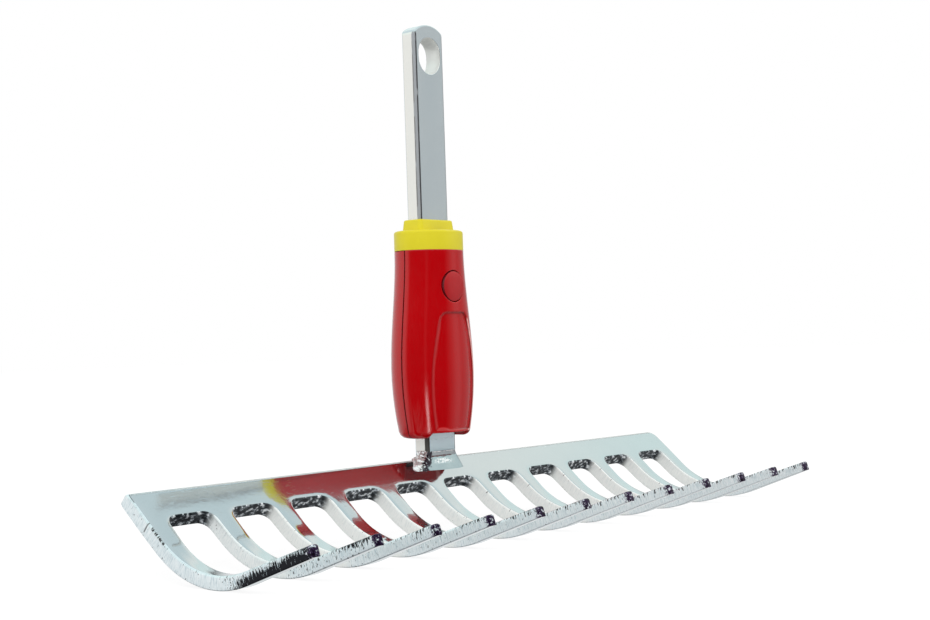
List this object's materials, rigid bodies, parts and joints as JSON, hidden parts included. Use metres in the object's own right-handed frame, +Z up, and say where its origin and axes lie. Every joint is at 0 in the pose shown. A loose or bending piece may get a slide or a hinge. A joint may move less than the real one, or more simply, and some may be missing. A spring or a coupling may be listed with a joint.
{
  "type": "rake head",
  "caption": "Quick-change garden rake head: a stamped comb of bent tapered tines welded to a flat tang, with a push-button grip housing and a collar for a click-on handle.",
  "frame": {"origin": "on the tang's axis, in the plane of the collar's shoulder, where a handle seats", "axes": "+X along the comb, +Z up the tang towards its hang-up hole, -Y to the front, where the tines and the push button are"},
  "size_m": [0.35, 0.1132, 0.2297],
  "materials": {
    "comb_zinc": "bright zinc plate, mirror-like faces and rough sheared edges",
    "tang_zinc": "satin zinc plate on rolled flat bar",
    "weld_metal": "plated weld bead with ripples",
    "red_plastic": "moulded, semi-gloss red",
    "red_button_plastic": "moulded, slightly matt red",
    "yellow_plastic": "moulded, semi-matt yellow",
    "plain_steel": "plain steel",
    "spring_steel": "oiled spring steel"
  },
  "bodies": {
    "head": {"rake_comb": "comb_zinc", "weld_bead": "weld_metal", "tang": "tang_zinc", "housing_front": "red_plastic", "housing_rear": "red_plastic", "collar": "yellow_plastic", "latch_pin": "plain_steel", "latch_spring": "spring_steel", "locating_pin": "plain_steel", "shell_screw_left": "plain_steel", "shell_screw_right": "plain_steel"},
    "button": {"push_button": "red_button_plastic"},
    "latch": {"latch_lever": "plain_steel"}
  },
  "joints": [
    {"name": "button_press", "type": "slide", "parent": "head", "child": "button", "axis": [0, 1, 0], "range_m": [0, 0.0018], "stiffness_N_per_m": 1500},
    {"name": "latch_pivot", "type": "hinge", "parent": "head", "child": "latch", "pos_m": [0, -0.00795, -0.048], "axis": [-1, 0, 0], "range_deg": [0, 4.7], "deforming": ["latch_spring"]}
  ],
  "couplings": [
    {"joint": "latch_pivot", "follows": "button_press", "rad_per_m": 44.843}
  ]
}
